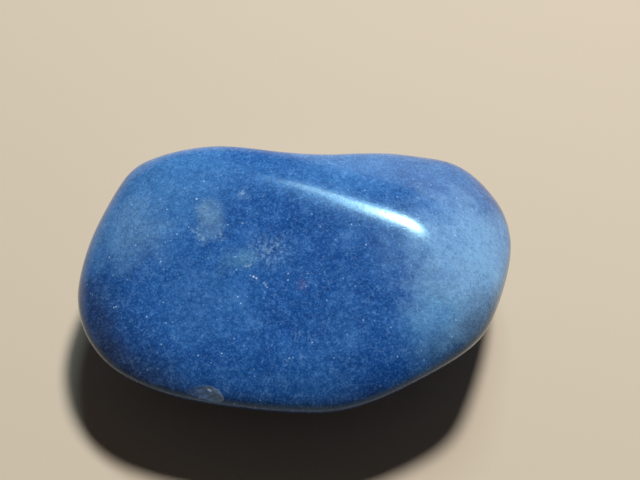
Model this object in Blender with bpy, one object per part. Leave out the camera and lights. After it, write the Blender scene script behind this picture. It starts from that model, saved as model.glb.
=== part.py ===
"""A tumble-polished piece of blue aventurine: one solid stone, worn to a rounded pebble.

Metres, +Z up. +X runs along the stone's long axis and +Y points away from its front edge.
The origin is the middle of the stone's footprint, on the small flat that it rests on.
"""

import math
from typing import NamedTuple

import bmesh
import bpy
import numpy as np

MM = 0.001

# Driving dimensions
LENGTH = 30.0 * MM
REST_DEPTH = 0.16 * MM

# Mesh: faces along each edge of the starting cube, and the stone's rough half sizes in millimetres
GRID = 28
HALF_SIZES = (15.0, 10.2, 5.8)

# A vertex this close to the resting plane is moved onto it, so that the cut leaves no slivers
SNAP = 0.015 * MM

# Sharp edges are those steeper than this
SHARP_ANGLE = math.radians(30.0)

# Polished blue quartz
BLUE = (0.027, 0.090, 0.300, 1.0)
ROUGHNESS = 0.32


class WornFace(NamedTuple):
    """One broad face worn onto the stone: part of a large sphere, seen from the stone's heart.

    Angles are in degrees: azimuth runs counter-clockwise from +X, elevation up from the
    horizon. Lengths are in millimetres: reach is how far the face lies from the heart, dome
    is its radius of curvature, and soft is how widely it rounds into its neighbours.
    """

    name: str
    azimuth: float
    elevation: float
    reach: float
    dome: float
    soft: float


class Hollow(NamedTuple):
    """A shallow dent: a sphere beside the stone, placed from the heart, in millimetres."""

    name: str
    centre: tuple
    radius: float
    soft: float


WORN_FACES = (
    # The top: two broad slopes that meet at the ridge, and the slopes of the two ends
    WornFace("front slope", -108, 75.5, 5.5, 120, 1.2),
    WornFace("back slope", 74, 67.5, 7.75, 80, 1.2),
    WornFace("right slope", 4, 63, 10.5, 45, 1.4),
    WornFace("left slope", 165, 52, 12.4, 26, 3.0),
    # Where the top rolls over towards the front edge
    WornFace("front roll", -94, 50, 8.6, 50, 1.0),
    WornFace("front left roll", -114, 47, 10.75, 50, 1.2),
    WornFace("left corner roll", -143, 40, 12.9, 40, 1.2),
    WornFace("front right roll", -62, 36, 11.4, 100, 1.0),
    # The sides, counter-clockwise from the back
    WornFace("back wall", 93, 5, 9.0, 200, 1.4),
    WornFace("back left corner", 151, 0, 13.95, 60, 1.0),
    WornFace("left end", 175, 0, 14.9, 30, 1.0),
    WornFace("right end", -27, -12, 13.4, 40, 1.0),
    WornFace("back right corner", 54, 8, 15.4, 22, 2.0),
    # The underside: it curves in all round, from a tight front edge, to a flatter belly
    WornFace("under front", -94, -42, 8.0, 50, 0.9),
    WornFace("under front left", -117, -42, 9.9, 50, 0.9),
    WornFace("under left corner", -146, -42, 11.8, 40, 0.9),
    WornFace("under front right", -62, -38, 8.75, 60, 0.8),
    WornFace("under back", 85, -50, 9.0, 40, 2.5),
    WornFace("under left", 180, -45, 13.9, 40, 2.0),
    WornFace("under right", -8, -42, 13.0, 60, 2.5),
    WornFace("belly", 0, -90, 5.7, 60, 2.0),
)

HOLLOWS = (
    Hollow("saddle in the back edge", (0.2, 16.3, 3.0), 8.7, 1.6),
)


def clear_scene():
    """Remove what the scene holds."""
    for thing in list(bpy.context.scene.objects):
        bpy.data.objects.remove(thing, do_unlink=True)


def direction(azimuth, elevation):
    """Unit vector of an azimuth and an elevation in degrees."""
    turn = math.radians(azimuth)
    rise = math.radians(elevation)
    return np.array([math.cos(rise) * math.cos(turn),
                     math.cos(rise) * math.sin(turn),
                     math.sin(rise)])


def soft_max(first, second, width):
    """The greater of two distances, rounded where they differ by less than width."""
    blend = np.maximum(width - np.abs(first - second), 0.0)
    return np.maximum(first, second) + blend * blend / (4.0 * width)


def depth_outside(points):
    """Signed distance of points from the stone's surface, negative inside it."""
    depth = np.full(len(points), -1000.0)
    for face in WORN_FACES:
        centre = direction(face.azimuth, face.elevation) * (face.reach - face.dome)
        distance = np.linalg.norm(points - centre, axis=1) - face.dome
        depth = soft_max(depth, distance, face.soft)
    for hollow in HOLLOWS:
        distance = hollow.radius - np.linalg.norm(points - np.array(hollow.centre), axis=1)
        depth = soft_max(depth, distance, hollow.soft)
    return depth


def surface_along(rays):
    """Points where rays from the heart leave the stone, found by halving the interval."""
    near = np.zeros(len(rays))
    far = np.full(len(rays), 2.0 * max(HALF_SIZES))
    for _ in range(40):
        middle = (near + far) / 2.0
        outside = depth_outside(rays * middle[:, None]) > 0.0
        far = np.where(outside, middle, far)
        near = np.where(outside, near, middle)
    return rays * near[:, None]


def ray_fan(cube_points):
    """Rays from the heart through a cube's grid, spread evenly over the stone's long shape."""
    rays = np.tan(cube_points * math.pi / 4.0)
    rays /= np.linalg.norm(rays, axis=1)[:, None]
    rays *= np.array(HALF_SIZES)
    return rays / np.linalg.norm(rays, axis=1)[:, None]


def cast_onto_stone(shape):
    """Move a subdivided cube's vertices out to the worn faces, in metres and true to LENGTH."""
    cube_points = np.array([vertex.co[:] for vertex in shape.verts])
    points = surface_along(ray_fan(cube_points))
    points *= LENGTH / np.ptp(points[:, 0])
    lowest = points.min(axis=0)
    highest = points.max(axis=0)
    middle = (lowest + highest) / 2.0
    points -= np.array([middle[0], middle[1], lowest[2] + REST_DEPTH])
    points[np.abs(points[:, 2]) < SNAP, 2] = 0.0
    for vertex, point in zip(shape.verts, points):
        vertex.co = point


def cut_rest_flat(shape):
    """Cut the lowest sliver off at Z = 0 and close the cut with one flat face."""
    cut = bmesh.ops.bisect_plane(
        shape,
        geom=shape.verts[:] + shape.edges[:] + shape.faces[:],
        dist=1e-7,
        plane_co=(0.0, 0.0, 0.0),
        plane_no=(0.0, 0.0, -1.0),
        clear_outer=True,
    )
    rim = [item for item in cut["geom_cut"] if isinstance(item, bmesh.types.BMEdge)]
    bmesh.ops.contextual_create(shape, geom=rim)


def polished_quartz():
    """The stone's own material."""
    material = bpy.data.materials.new("blue aventurine")
    material.use_nodes = True
    shader = material.node_tree.nodes["Principled BSDF"]
    shader.inputs["Base Color"].default_value = BLUE
    shader.inputs["Roughness"].default_value = ROUGHNESS
    shader.inputs["Metallic"].default_value = 0.0
    material.diffuse_color = BLUE
    return material


def make_stone():
    """The whole stone, one closed solid."""
    shape = bmesh.new()
    bmesh.ops.create_cube(shape, size=2.0)
    bmesh.ops.subdivide_edges(shape, edges=shape.edges[:], cuts=GRID - 1, use_grid_fill=True)
    cast_onto_stone(shape)
    cut_rest_flat(shape)
    bmesh.ops.recalc_face_normals(shape, faces=shape.faces[:])

    mesh = bpy.data.meshes.new("stone")
    shape.to_mesh(mesh)
    shape.free()
    mesh.shade_smooth()
    mesh.set_sharp_from_angle(angle=SHARP_ANGLE)
    mesh.materials.append(polished_quartz())
    stone = bpy.data.objects.new("stone", mesh)
    bpy.context.collection.objects.link(stone)
    return stone


clear_scene()
make_stone()
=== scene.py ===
"""Looks of a tumble-polished piece of blue aventurine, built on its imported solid.

Everything is in metres in the solid's own frame: +Z up, +X along the stone, +Y to its back.
Small lengths are written in millimetres and multiplied by MM.
"""

import logging
import math
from dataclasses import dataclass
from enum import Enum

import bmesh
import bpy
import numpy as np
from mathutils import Matrix, Vector, noise


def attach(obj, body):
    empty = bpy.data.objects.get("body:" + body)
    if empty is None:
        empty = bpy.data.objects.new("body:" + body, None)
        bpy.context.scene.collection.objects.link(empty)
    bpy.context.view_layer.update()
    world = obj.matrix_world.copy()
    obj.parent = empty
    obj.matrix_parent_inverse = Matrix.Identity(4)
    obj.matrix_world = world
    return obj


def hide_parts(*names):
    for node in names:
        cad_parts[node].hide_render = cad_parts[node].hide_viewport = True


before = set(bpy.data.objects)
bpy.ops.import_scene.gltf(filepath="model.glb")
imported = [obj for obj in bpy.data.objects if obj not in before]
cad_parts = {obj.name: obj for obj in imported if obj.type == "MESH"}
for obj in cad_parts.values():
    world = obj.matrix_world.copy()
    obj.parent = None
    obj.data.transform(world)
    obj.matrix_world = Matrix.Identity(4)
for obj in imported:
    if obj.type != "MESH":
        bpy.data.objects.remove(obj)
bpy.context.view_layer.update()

MM = 0.001
LOG = logging.getLogger("blue_aventurine")

# Size of the quartz grains, and spacing of the mica specks
GRAIN_MM = 0.34
MICA_MM = 0.45

# Points closer than this are one point, and points lower than this lie on the flat
WELD_MM = 0.001

Colour = tuple[float, float, float, float]
LightColour = tuple[float, float, float]
Point = tuple[float, float, float]

# Start and end of a soft step
Step = tuple[float, float]


def shade(red: int, green: int, blue: int) -> Colour:
    """Linear colour of an 8-bit screen colour.

    Args:
        red: Screen red, 0 to 255.
        green: Screen green, 0 to 255.
        blue: Screen blue, 0 to 255.

    Returns:
        The linear colour with full opacity.
    """
    def linear(value: int) -> float:
        """Linear share of one 8-bit screen value."""
        share = value / 255.0
        return share / 12.92 if share <= 0.04045 else ((share + 0.055) / 1.055) ** 2.4

    return (linear(red), linear(green), linear(blue), 1.0)


class Tint(Enum):
    """The stone's own colours, and the painted shade and painted reflection laid on its edges."""

    DEEP = shade(18, 70, 140)
    BODY = shade(33, 87, 157)
    GRAIN = shade(104, 156, 228)
    CLOUD = shade(128, 174, 220)
    HAZE = shade(72, 130, 192)
    MILK = shade(112, 150, 182)
    FROST = shade(150, 190, 224)
    SAGE = shade(96, 146, 176)
    PLUM = shade(84, 84, 140)
    INK = shade(10, 44, 100)
    # Painted shade, greyer than the body, on the lower right edge
    PAINTED_GREY_SHADE = shade(78, 98, 124)
    # Painted shade and painted reflection along the front edge
    PAINTED_SHADE_AND_REFLECTION = shade(48, 52, 82)
    # Painted shade where the stone's edges turn away from the key lamp
    PAINTED_SHADE = shade(28, 38, 64)
    GAP = shade(150, 158, 178)
    MICA = shade(176, 214, 248)
    SCAR = shade(112, 130, 158)
    # Broken grains, and also a painted highlight on the chip's edge and painted glints in the pits
    CRUSHED_AND_GLINT = shade(196, 218, 240)


@dataclass(frozen=True)
class Marking:
    """One soft-edged zone of another colour in the stone, or of painted shade on its edges.

    Attributes:
        tint: Its colour.
        centre_mm: Its middle, on or in the stone, in millimetres.
        radius_mm: How far it reaches.
        core: Share of the radius that has its full strength.
        strength: How much of its colour shows at the middle, 0 to 1.
        ragged_mm: How far its edge wanders.
        grainy: How far it breaks up into single grains, 0 to 1.
    """

    tint: Tint
    centre_mm: Point
    radius_mm: float
    core: float
    strength: float
    ragged_mm: float = 1.0
    grainy: float = 0.0


@dataclass(frozen=True)
class Scoop:
    """A hollow in the skin, cut by the surface of a sphere.

    Attributes:
        at_mm: The hollow's middle, in millimetres. It is moved onto the nearest skin.
        radius_mm: Radius of the hollow's curve.
        depth_mm: Depth at the middle.
    """

    at_mm: Point
    radius_mm: float
    depth_mm: float

    def reach_mm(self) -> float:
        """How far the hollow spreads over the skin."""
        return math.sqrt(2.0 * self.radius_mm * self.depth_mm)


@dataclass(frozen=True)
class Scar:
    """A wound in the skin, made of scoops that run together, with pale broken grains at its edge,
    brighter towards bright_side as a painted highlight and darker away from it as painted shade.

    Attributes:
        scoops: The hollows that it is made of.
        frost: How much the broken grains pale the inside, 0 to 1.
        rim: How much they whiten the edge, 0 to 1, partly as a painted highlight.
        white: How much they whiten the inside, 0 to 1; in the pits this is partly painted glints.
        bright_side: Direction in which the inside and the edge are palest: painted light there,
            painted shade on the far side.
        fade_mm: How far it takes to fade from there.
    """

    scoops: tuple[Scoop, ...]
    frost: float
    rim: float
    white: float = 0.0
    bright_side: Point = (0.0, 0.0, 1.0)
    fade_mm: float = 100.0


PIT_DEPTH_MM = 0.02
PIT_FROST = 0.2


def pit(rim: float, white: float, *hollows: tuple[float, float, float, float]) -> Scar:
    """Describe a tiny pit, or a row of tiny pits that run together.

    Args:
        rim: How much its edge is whitened, 0 to 1.
        white: How much its inside is whitened, 0 to 1, partly as a painted glint.
        *hollows: Each pit's place and radius, in millimetres.

    Returns:
        The pit.
    """
    scoops = tuple(Scoop(hollow[:3], hollow[3], PIT_DEPTH_MM) for hollow in hollows)
    return Scar(scoops, PIT_FROST, rim, white)


# The chip: pale broken grains, with a painted highlight towards bright_side and painted shade away
# from it
CHIP = Scar(
    (
        Scoop((-5.80, -8.90, 7.26), 5.0, 0.09),
        Scoop((-5.42, -9.06, 7.12), 3.6, 0.08),
        Scoop((-6.35, -8.84, 7.18), 5.0, 0.05),
    ),
    frost=0.85, rim=0.35, bright_side=(0.92, 0.0, 0.40), fade_mm=1.8,
)
# The pits, whose white insides are partly painted glints
PITS = (
    pit(0.2, 0.25, (-3.30, -1.22, 10.45, 0.12), (-3.14, -1.17, 10.46, 0.14),
        (-3.00, -1.13, 10.48, 0.10)),
    pit(0.5, 0.70, (-2.83, -1.91, 10.31, 0.13)),
    pit(0.5, 0.60, (-2.62, -2.05, 10.30, 0.12)),
    pit(0.2, 0.25, (-2.10, -2.36, 10.27, 0.12), (-2.00, -2.52, 10.23, 0.12),
        (-1.90, -2.66, 10.20, 0.10)),
    pit(0.2, 0.20, (-2.07, -3.01, 10.10, 0.10)),
    pit(0.2, 0.20, (-2.13, -3.37, 9.99, 0.10)),
    pit(0.3, 0.35, (-3.57, 1.75, 11.13, 0.11)),
    pit(0.5, 0.75, (-6.68, 3.71, 11.18, 0.12)),
    # The white fleck in the chip, partly a painted glint
    pit(0.4, 0.60, (-5.56, -8.82, 7.46, 0.13), (-5.66, -8.77, 7.51, 0.10)),
)
MARKINGS_AND_PAINTED_SHADE = (
    # The paler back slope, the pale right end, and grey painted shade on the edge under it
    Marking(Tint.HAZE, (3.6, 8.6, 9.8), 8.0, 0.20, 0.74, 2.0),
    Marking(Tint.CLOUD, (12.6, -0.2, 9.8), 8.4, 0.10, 0.90, 3.2),
    Marking(Tint.HAZE, (10.6, 7.0, 9.2), 3.8, 0.10, 0.55, 1.4),
    Marking(Tint.MILK, (11.4, -4.0, 9.8), 6.2, 0.00, 0.52, 2.6, 0.3),
    Marking(Tint.SAGE, (9.3, -4.9, 10.1), 3.0, 0.20, 0.40, 1.0),
    Marking(Tint.HAZE, (8.4, -5.6, 9.4), 3.4, 0.10, 0.45, 1.4),
    Marking(Tint.PAINTED_GREY_SHADE, (13.2, -4.7, 7.8), 4.2, 0.25, 0.80, 1.0),
    Marking(Tint.PAINTED_SHADE, (9.6, -7.2, 8.2), 3.0, 0.10, 0.40, 1.0),
    # Painted shade on the left end and along the front left edge
    Marking(Tint.PAINTED_SHADE, (-12.8, -2.8, 8.2), 3.6, 0.00, 0.34, 1.4),
    Marking(Tint.PAINTED_SHADE, (-8.4, -8.0, 7.0), 3.2, 0.10, 0.32, 1.2),
    # The deepest blue, in front of the ridge, and a paler patch before it
    Marking(Tint.DEEP, (3.4, -0.4, 11.3), 4.2, 0.10, 0.60, 1.4),
    Marking(Tint.HAZE, (2.9, -5.6, 9.7), 3.4, 0.10, 0.16, 1.4),
    # The paler left part, and painted shade on the front left corner
    Marking(Tint.HAZE, (-9.0, 6.2, 10.8), 7.5, 0.20, 0.68, 2.2),
    Marking(Tint.HAZE, (-6.3, -3.2, 9.6), 5.0, 0.10, 0.25, 1.6),
    Marking(Tint.HAZE, (-13.2, 2.2, 8.6), 4.2, 0.20, 0.60, 1.6),
    Marking(Tint.MILK, (-11.2, 2.1, 9.8), 4.2, 0.05, 0.50, 2.6, 0.4),
    Marking(Tint.PAINTED_SHADE, (-12.2, -6.7, 6.8), 5.0, 0.10, 0.60, 1.6),
    # The milky spot and the frosted grains round it
    Marking(Tint.MILK, (-5.85, 2.75, 11.09), 1.30, 0.40, 0.36, 0.35),
    Marking(Tint.MILK, (-5.70, 1.70, 10.87), 1.30, 0.40, 0.34, 0.35),
    Marking(Tint.FROST, (-6.20, 2.88, 11.07), 0.60, 0.10, 0.40, 0.3, 0.5),
    Marking(Tint.FROST, (-6.70, 1.35, 10.67), 0.55, 0.20, 0.50, 0.3, 1.0),
    Marking(Tint.FROST, (-6.20, 0.85, 10.62), 0.60, 0.20, 0.50, 0.3, 1.0),
    Marking(Tint.FROST, (-5.10, 0.90, 10.79), 0.60, 0.20, 0.40, 0.3, 1.0),
    # The greenish patch and the frosted threads beside it
    Marking(Tint.SAGE, (-3.20, -0.70, 10.57), 1.20, 0.10, 0.55, 0.6, 0.3),
    Marking(Tint.SAGE, (-4.30, -0.60, 10.45), 1.20, 0.10, 0.30, 0.6, 0.3),
    Marking(Tint.FROST, (-1.75, -0.25, 10.85), 1.80, 0.10, 0.42, 0.9, 0.9),
    # Small single marks
    Marking(Tint.PLUM, (0.41, -2.56, 10.42), 0.60, 0.20, 0.40, 0.3),
    Marking(Tint.FROST, (-3.53, 3.77, 11.57), 0.60, 0.30, 0.45, 0.2, 0.8),
    Marking(Tint.INK, (-4.92, -1.52, 10.19), 0.70, 0.20, 0.40, 0.4),
)
# Painted shade and painted reflection along the front edge and on the front side below it
PAINTED_EDGE_SHADE_AND_REFLECTION = tuple(
    Marking(Tint.PAINTED_SHADE_AND_REFLECTION, centre, radius, 0.20, strength, 0.5)
    for centre, radius, strength in (
        # Painted shade and painted reflection: a narrow darker band along the front edge, from the
        # left to the right
        ((-13.7, -1.6, 7.7), 1.9, 0.30), ((-13.3, -3.6, 7.4), 2.2, 0.36),
        ((-12.6, -5.4, 7.0), 2.4, 0.42), ((-11.4, -6.9, 6.7), 2.5, 0.46),
        ((-9.8, -8.1, 6.5), 2.4, 0.46), ((-7.9, -8.8, 6.4), 2.1, 0.44),
        ((-5.8, -9.3, 6.3), 2.1, 0.44), ((-3.6, -9.7, 6.2), 2.1, 0.42),
        ((-1.4, -9.9, 6.1), 2.1, 0.42), ((0.8, -9.9, 6.2), 2.2, 0.42),
        ((3.0, -9.7, 6.3), 2.4, 0.46), ((5.2, -9.3, 6.6), 2.4, 0.44),
        ((7.4, -8.7, 6.8), 2.2, 0.40), ((9.5, -7.9, 7.1), 2.3, 0.40),
        ((11.4, -6.7, 7.4), 2.4, 0.36),
        # Painted shade on the front side below it, in broader steps
        ((-11.0, -5.4, 3.6), 4.6, 0.34), ((-7.2, -7.2, 3.4), 5.0, 0.34),
        ((-2.4, -8.2, 3.2), 5.2, 0.34), ((2.6, -8.0, 3.2), 5.2, 0.34),
        ((7.4, -6.8, 3.6), 5.0, 0.34), ((11.4, -4.2, 4.4), 4.2, 0.30),
    )
)


class Graph:
    """A material's node tree, with a short method for each kind of node that it needs."""

    def __init__(self, name: str) -> None:
        """Start a material with its shader and its output.

        Args:
            name: The material's name.
        """
        self.material = bpy.data.materials.new(name)
        self.material.use_nodes = True
        self.tree = self.material.node_tree
        self.shader = self.tree.nodes["Principled BSDF"]

    def node(self, kind: str, **settings: object) -> bpy.types.Node:
        """Add a node and set its own properties.

        Args:
            kind: The node's type name.
            **settings: Properties of the node and their values.

        Returns:
            The new node.
        """
        made = self.tree.nodes.new(kind)
        for name, value in settings.items():
            setattr(made, name, value)
        return made

    def feed(self, socket: bpy.types.NodeSocket, value: object) -> None:
        """Link or set one input.

        Args:
            socket: The input.
            value: An output to link, or a plain value to set.
        """
        if isinstance(value, bpy.types.NodeSocket):
            self.tree.links.new(value, socket)
        else:
            socket.default_value = value

    def millimetres(self) -> bpy.types.NodeSocket:
        """Place on the stone in its own frame, in millimetres."""
        place = self.node("ShaderNodeTexCoord")
        scaled = self.node("ShaderNodeVectorMath", operation="SCALE")
        self.feed(scaled.inputs[0], place.outputs["Object"])
        self.feed(scaled.inputs["Scale"], 1.0 / MM)
        return scaled.outputs[0]

    def noise(self, place: object, size_mm: float, detail: float = 2.0,
              roughness: float = 0.5, colour: bool = False) -> bpy.types.NodeSocket:
        """Fractal noise.

        Args:
            place: Where to read it, in millimetres.
            size_mm: Size of its largest features.
            detail: Number of finer octaves.
            roughness: Strength of each finer octave.
            colour: True for three independent channels.

        Returns:
            The noise, about 0 to 1 with its middle at 0.5.
        """
        made = self.node("ShaderNodeTexNoise")
        self.feed(made.inputs["Vector"], place)
        self.feed(made.inputs["Scale"], 1.0 / size_mm)
        self.feed(made.inputs["Detail"], detail)
        self.feed(made.inputs["Roughness"], roughness)
        return made.outputs["Color" if colour else "Fac"]

    def cells(self, place: object, size_mm: float, feature: str = "F1") -> bpy.types.Node:
        """A field of irregular grains.

        Args:
            place: Where to read it, in millimetres.
            size_mm: Size of a grain.
            feature: The distance that it measures.

        Returns:
            The node, with its Distance and, for F1, a random Color for each grain.
        """
        made = self.node("ShaderNodeTexVoronoi", feature=feature)
        self.feed(made.inputs["Vector"], place)
        self.feed(made.inputs["Scale"], 1.0 / size_mm)
        return made

    def channel(self, colour: object, name: str) -> bpy.types.NodeSocket:
        """One channel of a colour: Red, Green or Blue."""
        made = self.node("ShaderNodeSeparateColor")
        self.feed(made.inputs[0], colour)
        return made.outputs[name]

    def calc(self, operation: str, first: object, second: object = 0.0,
             third: object = 0.0) -> bpy.types.NodeSocket:
        """One step of arithmetic.

        Args:
            operation: The step's name.
            first: First value.
            second: Second value.
            third: Third value, where the step takes one.

        Returns:
            The result.
        """
        made = self.node("ShaderNodeMath", operation=operation)
        for socket, value in zip(made.inputs, (first, second, third)):
            self.feed(socket, value)
        return made.outputs[0]

    def remap(self, value: object, start: float, end: float,
              low: float = 0.0, high: float = 1.0) -> bpy.types.NodeSocket:
        """A soft step.

        Args:
            value: What is stepped.
            start: Value where the step begins.
            end: Value where it ends.
            low: Result at start.
            high: Result at end.

        Returns:
            The stepped value.
        """
        made = self.node("ShaderNodeMapRange", interpolation_type="SMOOTHSTEP")
        for socket, number in zip(made.inputs, (value, start, end, low, high)):
            self.feed(socket, number)
        return made.outputs[0]

    def mix(self, share: object, first: object, second: object,
            blend: str = "MIX") -> bpy.types.NodeSocket:
        """Blend two colours.

        Args:
            share: How much of the second shows, 0 to 1.
            first: First colour.
            second: Second colour.
            blend: The way they combine.

        Returns:
            The blended colour.
        """
        made = self.node("ShaderNodeMix", data_type="RGBA", blend_type=blend)
        self.feed(made.inputs["Factor"], share)
        self.feed(made.inputs["A"], first)
        self.feed(made.inputs["B"], second)
        return made.outputs["Result"]

    def attribute(self, name: str) -> bpy.types.NodeSocket:
        """A number kept on the mesh's vertices."""
        return self.node("ShaderNodeAttribute", attribute_name=name).outputs["Fac"]


@dataclass(frozen=True)
class GrainLayer:
    """Quartz grains of one size.

    Attributes:
        size_mm: Their size.
        detail: Number of finer octaves.
        light: How much of the pale grains shows, 0 to 1.
        dark: How much of the dark gaps between them shows, 0 to 1.
    """

    size_mm: float
    detail: float
    light: float
    dark: float


@dataclass(frozen=True)
class SpeckLayer:
    """Single specks of one kind, scattered over the stone.

    Attributes:
        spacing_mm: Spacing of the places that may hold one.
        size: Radius of a speck, as a share of the spacing.
        tint: Its colour.
        odds: Share of the places that stay empty.
        strength: How much of its colour shows at most, 0 to 1.
    """

    spacing_mm: float
    size: float
    tint: Tint
    odds: float
    strength: float


@dataclass(frozen=True)
class BlueAventurine:
    """The finish: grainy blue quartz under a tumbled polish, with painted shade and painted
    reflection on its edges and painted highlights at its scars.

    Attributes:
        cloud_mm: Size of the broad clouds of deep and middle blue.
        cloud_step: Soft step in the noise, from the deep blue to the middle blue.
        wander_mm: Size of the lobes on the markings' ragged edges.
        speckle_step: Soft step in the noise where a grainy marking comes in.
        grain_layers: The quartz grains, from the largest to the finest.
        pale_step: Soft step in the noise where the pale grains come in.
        gap_step: Soft step in the noise where the dark gaps come in.
        shade_step: Soft step in the colour's green, from dark colour to light colour.
        shade_grain: Share of the pale grains that dark colour keeps.
        seam_mm: Size of the grains whose seams show as pale threads.
        seam_step: Soft step in the distance from a seam, in grains, where a thread comes in.
        thread_mm: Size of the stretches in which the threads show.
        thread_step: Soft step in the noise where such a stretch comes in.
        thread_strength: How much the threads show.
        speck_layers: The mica specks and the dark ones.
        speck_core: Share of a speck's radius that has its full strength.
        fine_mm: Size of the finest relief.
        rough_step: Soft step in the noise, from the body's smoothest to its roughest.
        rough_spread: How far those two lie from base_roughness.
        base_roughness: Roughness of the grainy body under the polish.
        base_ior: The body's index of refraction.
        base_shine: Strength of the body's own broad shine.
        base_tint: Colour of that shine, which the blue grains give back.
        broken_roughness: How much rougher the broken skin of a scar is.
        polish: Strength of the polish.
        polish_roughness: Roughness of the polish.
        polish_ior: The polish's index of refraction.
        polish_step: Soft step in a scar's strength where the polish ends.
        relief_mm: Height of the fine relief between the grains.
        pock_mm: Depth of the tiny pocks that the polish leaves between the grains.
        pock_step: Soft step in the noise, from a pock's bottom to its edge.
    """

    cloud_mm: float = 5.5
    cloud_step: Step = (0.36, 0.66)
    wander_mm: float = 1.6
    speckle_step: Step = (0.46, 0.62)
    grain_layers: tuple[GrainLayer, ...] = (
        GrainLayer(1.3, 3.0, 0.18, 0.27),
        GrainLayer(GRAIN_MM, 2.0, 0.24, 0.37),
        GrainLayer(GRAIN_MM * 0.4, 1.0, 0.29, 0.44),
    )
    pale_step: Step = (0.48, 0.82)
    gap_step: Step = (0.52, 0.20)
    shade_step: Step = (0.015, 0.085)
    shade_grain: float = 0.50
    seam_mm: float = GRAIN_MM * 1.5
    seam_step: Step = (0.06, 0.01)
    thread_mm: float = 0.7
    thread_step: Step = (0.52, 0.68)
    thread_strength: float = 0.16
    speck_layers: tuple[SpeckLayer, ...] = (
        SpeckLayer(MICA_MM, 0.17, Tint.MICA, 0.50, 0.80),
        SpeckLayer(MICA_MM * 3.1, 0.06, Tint.MICA, 0.45, 0.60),
        SpeckLayer(MICA_MM * 1.9, 0.10, Tint.INK, 0.55, 0.80),
    )
    speck_core: float = 0.2
    fine_mm: float = 0.14
    rough_step: Step = (0.35, 0.70)
    rough_spread: Step = (-0.08, 0.16)
    base_roughness: float = 0.15
    base_ior: float = 1.55
    base_shine: float = 0.21
    base_tint: Colour = (0.26, 0.80, 1.0, 1.0)
    broken_roughness: float = 0.4
    polish: float = 0.32
    polish_roughness: float = 0.18
    polish_ior: float = 1.5
    polish_step: Step = (0.0, 0.12)
    relief_mm: float = 0.010
    pock_mm: float = 0.008
    pock_step: Step = (0.28, 0.38)

    def material(self) -> bpy.types.Material:
        """Build the whole material."""
        graph = Graph("blue aventurine")
        place = graph.millimetres()
        colour = self.body_colour(graph, place)
        colour = self.zones(graph, place, colour)
        colour = self.grains(graph, place, colour)
        colour = self.specks(graph, place, colour)
        colour = self.scars(graph, colour)
        graph.feed(graph.shader.inputs["Base Color"], colour)
        self.gloss(graph, place)
        return graph.material

    def body_colour(self, graph: Graph, place: object) -> bpy.types.NodeSocket:
        """Blend the deep and the middle blue in broad clouds.

        Args:
            graph: The material's nodes.
            place: Place on the stone, in millimetres.

        Returns:
            The body's colour.
        """
        cloud = graph.noise(place, self.cloud_mm, detail=5.0, roughness=0.62)
        share = graph.remap(cloud, *self.cloud_step)
        return graph.mix(share, Tint.DEEP.value, Tint.BODY.value)

    def zones(self, graph: Graph, place: object, colour: object) -> bpy.types.NodeSocket:
        """Lay the soft-edged markings, and the painted shade and painted reflection on the edges,
        over the body's colour.

        Args:
            graph: The material's nodes.
            place: Place on the stone, in millimetres.
            colour: The colour so far.

        Returns:
            The colour with its markings.
        """
        wander = graph.noise(place, self.wander_mm, detail=4.0, roughness=0.6, colour=True)
        centred = graph.node("ShaderNodeVectorMath", operation="SUBTRACT")
        graph.feed(centred.inputs[0], wander)
        graph.feed(centred.inputs[1], (0.5, 0.5, 0.5))
        grit = graph.noise(place, GRAIN_MM * 0.7, detail=2.0, roughness=0.6)
        speckle = graph.remap(grit, *self.speckle_step)
        # The noise strays 0.5 from its middle, so twice ragged_mm moves an edge that far
        # Among these are painted shade and painted reflection on the edges
        for marking in MARKINGS_AND_PAINTED_SHADE + PAINTED_EDGE_SHADE_AND_REFLECTION:
            shifted = graph.node("ShaderNodeVectorMath", operation="MULTIPLY_ADD")
            graph.feed(shifted.inputs[0], centred.outputs[0])
            graph.feed(shifted.inputs[1], (marking.ragged_mm * 2.0,) * 3)
            graph.feed(shifted.inputs[2], place)
            apart = graph.node("ShaderNodeVectorMath", operation="DISTANCE")
            graph.feed(apart.inputs[0], shifted.outputs[0])
            graph.feed(apart.inputs[1], marking.centre_mm)
            share = graph.remap(apart.outputs["Value"], marking.radius_mm * marking.core,
                                marking.radius_mm, marking.strength, 0.0)
            if marking.grainy:
                broken = graph.calc("MULTIPLY_ADD", speckle, marking.grainy,
                                    1.0 - marking.grainy)
                share = graph.calc("MULTIPLY", share, broken)
            colour = graph.mix(share, colour, marking.tint.value)
        return colour

    def grains(self, graph: Graph, place: object, colour: object) -> bpy.types.NodeSocket:
        """Mottle the colour with quartz grains of several sizes and their pale seams.

        The pale grains are held back where the colour is dark.

        Args:
            graph: The material's nodes.
            place: Place on the stone, in millimetres.
            colour: The colour so far.

        Returns:
            The mottled colour.
        """
        lit = graph.remap(graph.channel(colour, "Green"), *self.shade_step, self.shade_grain, 1.0)
        for layer in self.grain_layers:
            mottle = graph.noise(place, layer.size_mm, layer.detail, roughness=0.6)
            pale = graph.remap(mottle, *self.pale_step, 0.0, layer.light)
            bright = graph.calc("MULTIPLY", lit, pale)
            deep = graph.remap(mottle, *self.gap_step, 0.0, layer.dark)
            colour = graph.mix(bright, colour, Tint.GRAIN.value, "SCREEN")
            colour = graph.mix(deep, colour, Tint.GAP.value, "MULTIPLY")
        seam = graph.cells(place, self.seam_mm, "DISTANCE_TO_EDGE").outputs["Distance"]
        thread = graph.remap(seam, *self.seam_step)
        stretch = graph.noise(place, self.thread_mm, detail=2.0, roughness=0.6)
        broken = graph.remap(stretch, *self.thread_step, 0.0, self.thread_strength)
        return graph.mix(graph.calc("MULTIPLY", thread, broken), colour, Tint.FROST.value)

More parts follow.
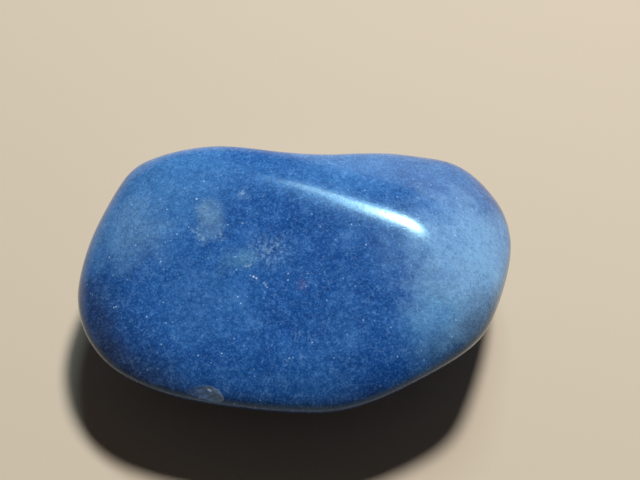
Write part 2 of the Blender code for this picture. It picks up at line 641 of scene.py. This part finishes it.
    def specks(self, graph: Graph, place: object, colour: object) -> bpy.types.NodeSocket:
        """Scatter bright mica specks and a few dark ones.

        Args:
            graph: The material's nodes.
            place: Place on the stone, in millimetres.
            colour: The colour so far.

        Returns:
            The speckled colour.
        """
        for layer in self.speck_layers:
            field = graph.cells(place, layer.spacing_mm)
            near = graph.remap(field.outputs["Distance"], layer.size, layer.size * self.speck_core)
            luck = graph.channel(field.outputs["Color"], "Green")
            drawn = graph.remap(luck, layer.odds, 1.0, 0.0, layer.strength)
            colour = graph.mix(graph.calc("MULTIPLY", near, drawn), colour, layer.tint.value)
        return colour

    def scars(self, graph: Graph, colour: object) -> bpy.types.NodeSocket:
        """Pale the broken skin of the chip and the pits, and whiten their broken rims; part of
        this is painted highlight, painted glint and painted shade.

        Args:
            graph: The material's nodes.
            colour: The colour so far.

        Returns:
            The finished colour.
        """
        # The paling fades to painted shade on the chip's dark side, and the white is partly a
        # painted highlight and painted glints
        colour = graph.mix(graph.attribute("scar"), colour, Tint.SCAR.value)
        return graph.mix(graph.attribute("crushed_and_glint"), colour, Tint.CRUSHED_AND_GLINT.value)

    def gloss(self, graph: Graph, place: object) -> None:
        """Set the polish over the grainy body, and the fine relief between the grains.

        Args:
            graph: The material's nodes.
            place: Place on the stone, in millimetres.
        """
        shader = graph.shader
        scar = graph.attribute("scar")
        fine = graph.noise(place, self.fine_mm, detail=3.0, roughness=0.7)
        smoothest, roughest = (self.base_roughness + spread for spread in self.rough_spread)
        rough = graph.remap(fine, *self.rough_step, smoothest, roughest)
        graph.feed(shader.inputs["Roughness"],
                   graph.calc("ADD", rough, graph.calc("MULTIPLY", scar, self.broken_roughness)))
        graph.feed(shader.inputs["IOR"], self.base_ior)
        graph.feed(shader.inputs["Specular IOR Level"], self.base_shine)
        graph.feed(shader.inputs["Specular Tint"], self.base_tint)
        graph.feed(shader.inputs["Coat Weight"],
                   graph.remap(scar, *self.polish_step, self.polish, 0.0))
        graph.feed(shader.inputs["Coat Roughness"], self.polish_roughness)
        graph.feed(shader.inputs["Coat IOR"], self.polish_ior)
        self.relief(graph, shader.inputs["Normal"], fine, self.relief_mm)
        pocks = graph.remap(fine, *self.pock_step)
        self.relief(graph, shader.inputs["Coat Normal"], pocks, self.pock_mm)

    def relief(self, graph: Graph, socket: bpy.types.NodeSocket, height: object,
               depth_mm: float) -> None:
        """Raise a fine relief on one layer of the surface.

        Args:
            graph: The material's nodes.
            socket: The layer's normal.
            height: The relief, 0 to 1.
            depth_mm: Its full height.
        """
        bump = graph.node("ShaderNodeBump")
        graph.feed(bump.inputs["Distance"], depth_mm * MM)
        graph.feed(bump.inputs["Height"], height)
        graph.feed(socket, bump.outputs[0])


@dataclass(frozen=True)
class Breakage:
    """How the skin breaks at a scar. Depths are shares of the scar's full depth.

    Attributes:
        grit_mm: Size of the steps in the scar's ragged edge.
        ragged: Depth by which that edge wanders.
        edge_depth: Depth at which the whitened edge has mostly faded.
        inside_slope: How fast the look of the inside comes in with depth.
        inside_at_edge: How much of it there is at the edge.
        bright_at_middle: Brightness at the first scoop's middle, 0 to 1.
        shaded_frost: Share of the frost that the dark side keeps.
    """

    grit_mm: float = 0.3
    ragged: float = 0.3
    edge_depth: float = 0.14
    inside_slope: float = 3.5
    inside_at_edge: float = 0.3
    bright_at_middle: float = 0.6
    shaded_frost: float = 0.20


@dataclass
class StoneSkin:
    """The stone's skin: a fine mesh grown from the solid's facets, with its chip and pits.

    Attributes:
        node_name: The solid that the skin stands for.
        levels: How often the solid's facets are halved.
        flattest_join: Two facets join to a quad where they meet at less than this, in degrees.
        squarest_join: The quad's corners may differ from square by this, in degrees.
        smoothing_rounds: Rounds of ironing before the halving.
        iron_steps: How far a point goes to its neighbours' middle in a round, and back again.
        refine_margins_mm: How far past each scar the skin is halved again, once for each.
        dent_mm: Depth of the slight unevenness that the tumbling left.
        dent_size_mm: Size of that unevenness.
        foot_mm: Height under which there is none, so that the stone still rests on its flat.
        breakage: How the skin breaks at the chip and the pits.
    """

    node_name: str = "stone"
    levels: int = 2
    flattest_join: float = 30.0
    squarest_join: float = 60.0
    smoothing_rounds: int = 1
    iron_steps: tuple[float, float] = (0.5, -0.52)
    refine_margins_mm: tuple[float, float] = (0.45, 0.15)
    dent_mm: float = 0.02
    dent_size_mm: float = 4.5
    foot_mm: float = 0.3
    breakage: Breakage = Breakage()

    def build(self) -> bpy.types.Object:
        """Grow the skin, break the chip and pits out of it and dress it.

        Returns:
            The finished piece.
        """
        skin = self.grow()
        self.refine(skin)
        self.carve(skin)
        skin.data.materials.clear()
        skin.data.materials.append(BlueAventurine().material())
        skin.data.shade_smooth()
        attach(skin, "root")
        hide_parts(self.node_name)
        return skin

    def grow(self) -> bpy.types.Object:
        """Copy the solid's facets, join them to quads and round them by subdivision.

        Returns:
            The smooth skin.
        """
        shape = bmesh.new()
        shape.from_mesh(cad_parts[self.node_name].data)
        bmesh.ops.remove_doubles(shape, verts=shape.verts[:], dist=WELD_MM * MM)
        flat = [face for face in shape.faces if face.calc_center_median().z < WELD_MM * MM]
        bmesh.ops.dissolve_faces(shape, faces=flat)
        bmesh.ops.join_triangles(
            shape,
            faces=[face for face in shape.faces if len(face.verts) == 3],
            angle_face_threshold=math.radians(self.flattest_join),
            angle_shape_threshold=math.radians(self.squarest_join),
        )
        self.iron(shape)
        mesh = bpy.data.meshes.new("stone_skin")
        shape.to_mesh(mesh)
        shape.free()

        coarse = bpy.data.objects.new("coarse_skin", mesh)
        bpy.context.scene.collection.objects.link(coarse)
        rounding = coarse.modifiers.new("rounding", "SUBSURF")
        rounding.levels = self.levels
        rounding.render_levels = self.levels
        depsgraph = bpy.context.evaluated_depsgraph_get()
        fine = bpy.data.meshes.new_from_object(coarse.evaluated_get(depsgraph))
        bpy.data.objects.remove(coarse, do_unlink=True)
        bpy.data.meshes.remove(mesh)
        fine.name = "stone_skin"
        skin = bpy.data.objects.new("stone_skin", fine)
        bpy.context.scene.collection.objects.link(skin)
        return skin

    def iron(self, shape: bmesh.types.BMesh) -> None:
        """Smooth out the facets' small ripples without shrinking the stone.

        Args:
            shape: The quads, changed in place. The flat's own points stay.
        """
        free = [vert for vert in shape.verts if vert.co.z > WELD_MM * MM]
        for _ in range(self.smoothing_rounds):
            for factor in self.iron_steps:
                moved = {}
                for vert in free:
                    around = [edge.other_vert(vert).co for edge in vert.link_edges]
                    middle = sum(around, Vector()) / len(around)
                    moved[vert] = vert.co + (middle - vert.co) * factor
                for vert, place in moved.items():
                    vert.co = place

    def refine(self, skin: bpy.types.Object) -> None:
        """Halve the skin's faces twice more around each scar.

        Args:
            skin: The piece, changed in place.
        """
        shape = bmesh.new()
        shape.from_mesh(skin.data)
        for margin in self.refine_margins_mm:
            near = set()
            for scar in (CHIP,) + PITS:
                for scoop in scar.scoops:
                    place = Vector(scoop.at_mm) * MM
                    reach = scoop.reach_mm() * MM + margin * MM
                    near.update(face for face in shape.faces
                                if (face.calc_center_median() - place).length < reach)
            edges = {edge for face in near for edge in face.edges}
            bmesh.ops.subdivide_edges(shape, edges=list(edges), cuts=1, use_grid_fill=True)
        shape.to_mesh(skin.data)
        shape.free()

    def carve(self, skin: bpy.types.Object) -> None:
        """Sink the slight unevenness, then push each scar down to its hollow.

        Args:
            skin: The piece, changed in place. It gains the attributes scar and crushed_and_glint.
        """
        mesh = skin.data
        count = len(mesh.vertices)
        points = np.empty(count * 3)
        mesh.vertices.foreach_get("co", points)
        points = points.reshape(-1, 3)
        normals = np.empty(count * 3)
        mesh.vertices.foreach_get("normal", normals)
        normals = normals.reshape(-1, 3)

        waves = np.array([noise.noise(Vector(point / (self.dent_size_mm * MM)))
                          for point in points])
        # The noise runs from -1 to 1, and the skin only sinks, by dent_mm at most
        sunk = (waves - 1.0) * 0.5 * self.dent_mm * MM
        sunk[points[:, 2] < self.foot_mm * MM] = 0.0
        points = points + normals * sunk[:, None]

        frost_with_painted_shade = np.zeros(count)
        crushed_and_glint = np.zeros(count)
        for scar in (CHIP,) + PITS:
            bitten = self.gouge(scar, points, normals)
            pale, white = self.crush(scar, points, bitten)
            frost_with_painted_shade = np.maximum(frost_with_painted_shade, pale)
            crushed_and_glint = np.maximum(crushed_and_glint, white)
        mesh.vertices.foreach_set("co", points.ravel())
        for name, values in (("scar", frost_with_painted_shade), ("crushed_and_glint", crushed_and_glint)):
            kept = mesh.attributes.new(name, "FLOAT", "POINT")
            kept.data.foreach_set("value", values.astype(np.float32))
        mesh.update()

    def crush(self, scar: Scar, points: np.ndarray,
              bitten: np.ndarray) -> tuple[np.ndarray, np.ndarray]:
        """Work out where one scar's broken grains are pale and white, with a painted highlight
        towards bright_side and painted shade away from it.

        Args:
            scar: The scar.
            points: Places of the skin's vertices.
            bitten: How deep in the scar each of them lay, 0 at its edge.

        Returns:
            How pale and how white each vertex is, 0 to 1.
        """
        look = self.breakage
        middle = np.array(scar.scoops[0].at_mm) * MM
        # Painted light towards bright_side, fading to painted shade away from it
        along = (points - middle) @ np.array(scar.bright_side)
        bright = np.clip(along / (scar.fade_mm * MM) + look.bright_at_middle, 0.0, 1.0)
        inside = np.clip(bitten * look.inside_slope + look.inside_at_edge, 0.0, 1.0)
        frost = look.shaded_frost + (1.0 - look.shaded_frost) * bright
        edge = np.exp(-(bitten / look.edge_depth) ** 2) * bright ** 2 * scar.rim
        return inside * frost * scar.frost, np.maximum(edge, inside * scar.white)

    def gouge(self, scar: Scar, points: np.ndarray, normals: np.ndarray) -> np.ndarray:
        """Push the skin down to one scar's hollows.

        Args:
            scar: The scar.
            points: Places of the skin's vertices, changed in place.
            normals: Their normals.

        Returns:
            For each vertex, how deep in the scar it lay: 1 in a hollow's middle, 0 at the edge.
        """
        far_outside = -10.0
        bitten = np.full(len(points), far_outside)
        before = points.copy()
        for scoop in scar.scoops:
            full = scoop.depth_mm * MM
            radius = scoop.radius_mm * MM
            nearest = np.argmin(np.linalg.norm(before - np.array(scoop.at_mm) * MM, axis=1))
            centre = before[nearest] + normals[nearest] * (radius - full)
            inward = radius - np.linalg.norm(before - centre, axis=1)
            close = np.where(inward > -2.0 * full)[0]
            grit = np.array([noise.noise(Vector(point / (self.breakage.grit_mm * MM)))
                             for point in before[close]])
            ragged = grit * self.breakage.ragged * full
            share = (inward[close] + ragged) / full
            bitten[close] = np.maximum(bitten[close], share)
            offset = points[close] - centre
            distance = np.linalg.norm(offset, axis=1)
            push = np.maximum(radius - distance + ragged, 0.0)
            points[close] += offset / distance[:, None] * push[:, None]
        return bitten


def direction(azimuth: float, elevation: float) -> Vector:
    """Unit vector of an azimuth and an elevation.

    Args:
        azimuth: Counter-clockwise from +X, in degrees.
        elevation: Above the horizon, in degrees.

    Returns:
        The vector.
    """
    turn = math.radians(azimuth)
    rise = math.radians(elevation)
    return Vector((math.cos(rise) * math.cos(turn),
                   math.cos(rise) * math.sin(turn), math.sin(rise)))


@dataclass(frozen=True)
class PaleFloor:
    """The floor's finish: plain, pale and matt.

    Attributes:
        colour: Its colour.
        roughness: Its roughness.
    """

    colour: Colour = shade(195, 180, 160)
    roughness: float = 0.8

    def material(self) -> bpy.types.Material:
        """Build the whole material."""
        graph = Graph("pale floor")
        graph.feed(graph.shader.inputs["Base Color"], self.colour)
        graph.feed(graph.shader.inputs["Roughness"], self.roughness)
        return graph.material


@dataclass
class Studio:
    """The pale floor, the lamps and the camera.

    Attributes:
        heart_mm: The stone's middle, which the camera's place is measured from.
        camera_elevation: How far above the horizon the camera looks down from, in degrees.
        camera_distance_mm: How far it stands from the stone's middle.
        heart_pixel: Where that middle lies in the picture, from its top left.
        picture: Width and height of the picture, in pixels.
        lens: The camera's lens, for its sensor of 36 mm.
        clip_start: Nearest distance that the camera sees, in metres.
        lamp_azimuth: The key lamp's direction, counter-clockwise from +X, in degrees.
        lamp_elevation: Its height above the horizon, in degrees.
        lamp_distance: How far off it stands, in metres.
        lamp_width: Its diameter.
        lamp_power: Its power, in watts.
        lamp_colour: Its colour.
        glow_azimuth: Direction of the far end of the long faint light that starts at the lamp.
        glow_elevation: That end's height above the horizon.
        glow_width: The light's width, in metres.
        glow_power: Its power, in watts.
        glow_colour: Its colour.
        card_length: Length of the warm soft light that stands behind the stone.
        card_height: Its height.
        card_distance: How far behind the stone it stands.
        card_power: Its power, in watts.
        card_colour: Its colour.
        fill: Strength of the soft light from all round.
        fill_colour: Its colour.
        floor_half: Half the floor's width.
    """

    heart_mm: Point = (-0.17, 0.79, 5.54)
    camera_elevation: float = 58.0
    camera_distance_mm: float = 94.6
    heart_pixel: tuple[float, float] = (294.0, 280.0)
    picture: tuple[int, int] = (640, 480)
    lens: float = 76.6
    clip_start: float = 0.005
    lamp_azimuth: float = 64.0
    lamp_elevation: float = 66.0
    lamp_distance: float = 0.32
    lamp_width: float = 0.05
    lamp_power: float = 1.04
    lamp_colour: LightColour = (1.0, 0.98, 0.95)
    glow_azimuth: float = 94.0
    glow_elevation: float = 55.0
    glow_width: float = 0.02
    glow_power: float = 0.25
    glow_colour: LightColour = (0.70, 0.92, 1.0)
    card_length: float = 0.50
    card_height: float = 0.045
    card_distance: float = 0.30
    card_power: float = 0.045
    card_colour: LightColour = (1.0, 0.66, 0.40)
    fill: float = 0.05
    fill_colour: Colour = (1.0, 0.88, 0.78, 1.0)
    floor_half: float = 1.5

    def build(self) -> None:
        """Make the floor, the light and the camera."""
        self.floor()
        self.key_lamp()
        self.side_glow()
        self.back_card()
        self.sky()
        self.camera()
        bpy.context.scene.view_settings.view_transform = "Standard"

    def floor(self) -> None:
        """Lay a plain pale floor under the stone."""
        shape = bmesh.new()
        bmesh.ops.create_grid(shape, x_segments=1, y_segments=1, size=self.floor_half)
        mesh = bpy.data.meshes.new("floor")
        shape.to_mesh(mesh)
        shape.free()
        floor = bpy.data.objects.new("floor", mesh)
        bpy.context.scene.collection.objects.link(floor)
        mesh.materials.append(PaleFloor().material())

    def key_lamp(self) -> None:
        """Hang the round key lamp behind the stone."""
        towards = direction(self.lamp_azimuth, self.lamp_elevation)
        light = bpy.data.lights.new("key_lamp", "AREA")
        light.shape = "DISK"
        light.size = self.lamp_width
        light.energy = self.lamp_power
        light.color = self.lamp_colour
        lamp = bpy.data.objects.new("key_lamp", light)
        lamp.location = towards * self.lamp_distance
        lamp.rotation_euler = towards.to_track_quat("Z", "Y").to_euler()
        bpy.context.scene.collection.objects.link(lamp)

    def side_glow(self) -> None:
        """Hang a long faint light that leads away from the key lamp, down to its left."""
        near = direction(self.lamp_azimuth, self.lamp_elevation) * self.lamp_distance
        far = direction(self.glow_azimuth, self.glow_elevation) * self.lamp_distance
        light = bpy.data.lights.new("side_glow", "AREA")
        light.shape = "RECTANGLE"
        light.size = (far - near).length
        light.size_y = self.glow_width
        light.energy = self.glow_power
        light.color = self.glow_colour
        lamp = bpy.data.objects.new("side_glow", light)
        lamp.location = (near + far) / 2.0
        outward = lamp.location.normalized()
        along = (far - near) - outward * (far - near).dot(outward)
        along.normalize()
        turned = Matrix((along, outward.cross(along), outward)).transposed()
        lamp.rotation_euler = turned.to_euler()
        bpy.context.scene.collection.objects.link(lamp)

    def back_card(self) -> None:
        """Stand a low warm soft light behind the stone, which its back edge reflects."""
        light = bpy.data.lights.new("back_card", "AREA")
        light.shape = "RECTANGLE"
        light.size = self.card_length
        light.size_y = self.card_height
        light.energy = self.card_power
        light.color = self.card_colour
        lamp = bpy.data.objects.new("back_card", light)
        lamp.location = (0.0, self.card_distance, self.card_height * 0.5 + MM)
        lamp.rotation_euler = (-math.pi / 2.0, 0.0, 0.0)
        lamp.visible_camera = False
        bpy.context.scene.collection.objects.link(lamp)

    def sky(self) -> None:
        """Fill the shadows with soft light from all round."""
        world = bpy.data.worlds.new("soft_fill")
        world.use_nodes = True
        background = world.node_tree.nodes["Background"]
        background.inputs["Color"].default_value = self.fill_colour
        background.inputs["Strength"].default_value = self.fill
        bpy.context.scene.world = world

    def camera(self) -> None:
        """Stand the camera where the picture was taken from, with the stone's middle in place."""
        lens = bpy.data.cameras.new("camera")
        lens.lens = self.lens
        lens.clip_start = self.clip_start
        camera = bpy.data.objects.new("camera", lens)
        rise = math.radians(self.camera_elevation)
        back = Vector((0.0, -math.cos(rise), math.sin(rise)))
        upward = Vector((0.0, math.sin(rise), math.cos(rise)))
        rightward = Vector((1.0, 0.0, 0.0))
        heart = Vector(self.heart_mm) * MM
        distance = self.camera_distance_mm * MM
        pixel = lens.sensor_width / self.lens * distance / self.picture[0]
        aim = (heart + rightward * (self.picture[0] / 2 - self.heart_pixel[0]) * pixel
               + upward * (self.heart_pixel[1] - self.picture[1] / 2) * pixel)
        camera.location = heart + back * distance
        backward = (camera.location - aim).normalized()
        level = (rightward - backward * rightward.dot(backward)).normalized()
        turned = Matrix((level, backward.cross(level), backward)).transposed()
        camera.rotation_euler = turned.to_euler()
        bpy.context.scene.collection.objects.link(camera)
        bpy.context.scene.camera = camera


def main() -> None:
    """Build the stone and its studio."""
    logging.basicConfig(level=logging.INFO, format="%(name)s: %(message)s")
    skin = StoneSkin().build()
    LOG.info("%s: %d faces", skin.name, len(skin.data.polygons))
    Studio().build()
    LOG.info("studio ready")


if __name__ == "__main__":
    main()
